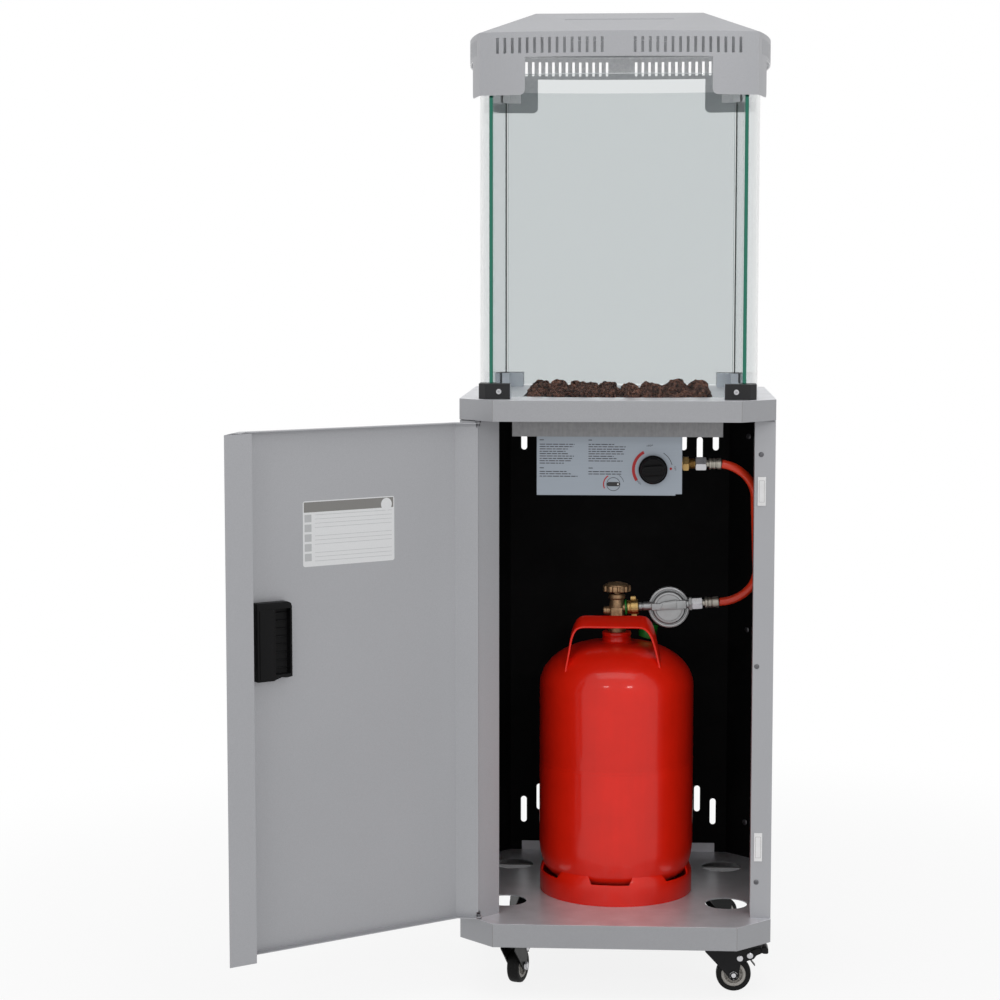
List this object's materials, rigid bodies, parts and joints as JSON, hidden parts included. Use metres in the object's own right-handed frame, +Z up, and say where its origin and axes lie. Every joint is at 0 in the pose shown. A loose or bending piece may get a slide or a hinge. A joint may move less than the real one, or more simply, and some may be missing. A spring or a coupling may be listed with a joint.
{
  "type": "gas patio heater",
  "caption": "Free-standing gas patio heater: glass flame chamber under a vented hood, on a wheeled cabinet whose open door shows the gas bottle.",
  "frame": {"origin": "on the floor, in the middle of the four castors", "axes": "+Z up, -Y to the front where the door is, +X to the viewer's right"},
  "size_m": [0.713, 0.6728, 1.3625],
  "materials": {
    "silver_paint": "silver grey powder coat, satin",
    "black_paint": "black powder coat, satin",
    "galvanised_steel": "galvanised sheet",
    "bright_steel": "zinc-plated",
    "black_steel": "blackened",
    "rim_plastic": "light grey moulded",
    "tyre_rubber": "black rubber",
    "black_plastic": "black moulded, fine grain",
    "white_plastic": "white moulded",
    "panel_coat": "pale blue-grey coat",
    "lava": "porous dark red-brown lava rock",
    "brass": "machined brass",
    "hose_rubber": "orange-red hose",
    "cast_alloy": "die-cast zinc alloy",
    "red_paint": "glossy red enamel",
    "green_plastic": "green moulded",
    "clear_glass": "clear tempered glass"
  },
  "bodies": {
    "root": {"base_tray": "silver_paint", "castor_rails": "galvanised_steel", "castor_plates": "galvanised_steel", "left_post": "silver_paint", "right_post": "silver_paint", "rear_posts": "silver_paint", "cabinet_shell": "black_paint", "pan_head_screws": "black_steel", "strike_pads": "white_plastic", "deck_plate": "silver_paint", "burner_tray": "galvanised_steel", "rock_grate": "galvanised_steel", "main_burner": "galvanised_steel", "pilot_assembly": "brass", "lava_rocks": "lava", "control_panel": "panel_coat", "gas_valve": "brass", "feed_pipe": "brass", "tilt_switch": "black_plastic", "inlet_fitting": "brass", "hose_nuts": "bright_steel", "hose_ferrules": "bright_steel", "gas_hose": "hose_rubber", "regulator": "cast_alloy", "union_nut": "brass", "bottle_body": "red_paint", "bottle_foot_ring": "red_paint", "bottle_handle": "red_paint", "bottle_valve": "brass", "dust_cap": "green_plastic", "front_glass": "clear_glass", "rear_glass": "clear_glass", "left_glass": "clear_glass", "right_glass": "clear_glass", "corner_brackets": "black_paint", "bracket_screws": "bright_steel", "hood": "silver_paint", "hinge_pins": "black_steel"},
    "door": {"door_panel": "silver_paint", "door_handle": "black_plastic"},
    "valve_stem": {"valve_stem": "bright_steel"},
    "knob": {"control_knob": "black_plastic"},
    "handwheel": {"bottle_handwheel": "brass"},
    "swivel_fl": {"fork_fl": "black_paint", "axle_fl": "bright_steel"},
    "wheel_fl": {"rim_fl": "rim_plastic", "tyre_fl": "tyre_rubber"},
    "swivel_fr": {"fork_fr": "black_paint", "axle_fr": "bright_steel"},
    "wheel_fr": {"rim_fr": "rim_plastic", "tyre_fr": "tyre_rubber"},
    "swivel_rl": {"fork_rl": "black_paint", "axle_rl": "bright_steel"},
    "wheel_rl": {"rim_rl": "rim_plastic", "tyre_rl": "tyre_rubber"},
    "swivel_rr": {"fork_rr": "black_paint", "axle_rr": "bright_steel"},
    "wheel_rr": {"rim_rr": "rim_plastic", "tyre_rr": "tyre_rubber"},
    "pedal_fl": {"brake_pedal_fl": "black_plastic"},
    "pedal_fr": {"brake_pedal_fr": "black_plastic"}
  },
  "joints": [
    {"name": "door_hinge", "type": "hinge", "parent": "root", "child": "door", "pos_m": [-0.19028, -0.19028, 0.45], "axis": [0, 0, 1], "range_deg": [-15, 142.3]},
    {"name": "knob_turn", "type": "hinge", "parent": "root", "child": "valve_stem", "pos_m": [0.0497, -0.14, 0.7353], "axis": [0, -1, 0], "range_deg": [0, 225]},
    {"name": "knob_push", "type": "slide", "parent": "valve_stem", "child": "knob", "axis": [0, 1, 0], "range_m": [0, 0.0035], "stiffness_N_per_m": 800},
    {"name": "bottle_valve_turn", "type": "hinge", "parent": "root", "child": "handwheel", "pos_m": [-0.001, -0.009, 0.547], "axis": [0, 0, 1], "range_deg": [0, 720]},
    {"name": "swivel_fl", "type": "hinge", "parent": "root", "child": "swivel_fl", "pos_m": [-0.145, -0.15, 0.07], "axis": [0, 0, 1], "continuous": true},
    {"name": "wheel_fl", "type": "hinge", "parent": "swivel_fl", "child": "wheel_fl", "pos_m": [-0.13806, -0.12912, 0.0245], "axis": [-0.9489, 0.3156, 0], "continuous": true},
    {"name": "swivel_fr", "type": "hinge", "parent": "root", "child": "swivel_fr", "pos_m": [0.145, -0.15, 0.07], "axis": [0, 0, 1], "continuous": true},
    {"name": "wheel_fr", "type": "hinge", "parent": "swivel_fr", "child": "wheel_fr", "pos_m": [0.167, -0.15, 0.0245], "axis": [0, 1, 0], "continuous": true},
    {"name": "swivel_rl", "type": "hinge", "parent": "root", "child": "swivel_rl", "pos_m": [-0.145, 0.15, 0.07], "axis": [0, 0, 1], "continuous": true},
    {"name": "wheel_rl", "type": "hinge", "parent": "swivel_rl", "child": "wheel_rl", "pos_m": [-0.15252, 0.17067, 0.0245], "axis": [-0.9397, -0.342, 0], "continuous": true},
    {"name": "swivel_rr", "type": "hinge", "parent": "root", "child": "swivel_rr", "pos_m": [0.145, 0.15, 0.07], "axis": [0, 0, 1], "continuous": true},
    {"name": "wheel_rr", "type": "hinge", "parent": "swivel_rr", "child": "wheel_rr", "pos_m": [0.16185, 0.16414, 0.0245], "axis": [-0.6428, 0.766, 0], "continuous": true},
    {"name": "brake_fl", "type": "hinge", "parent": "swivel_fl", "child": "pedal_fl", "pos_m": [-0.13092, -0.10768, 0.053], "axis": [-0.9489, 0.3156, 0], "range_deg": [0, 15]},
    {"name": "brake_fr", "type": "hinge", "parent": "swivel_fr", "child": "pedal_fr", "pos_m": [0.1896, -0.15, 0.053], "axis": [0, 1, 0], "range_deg": [0, 15]}
  ]
}
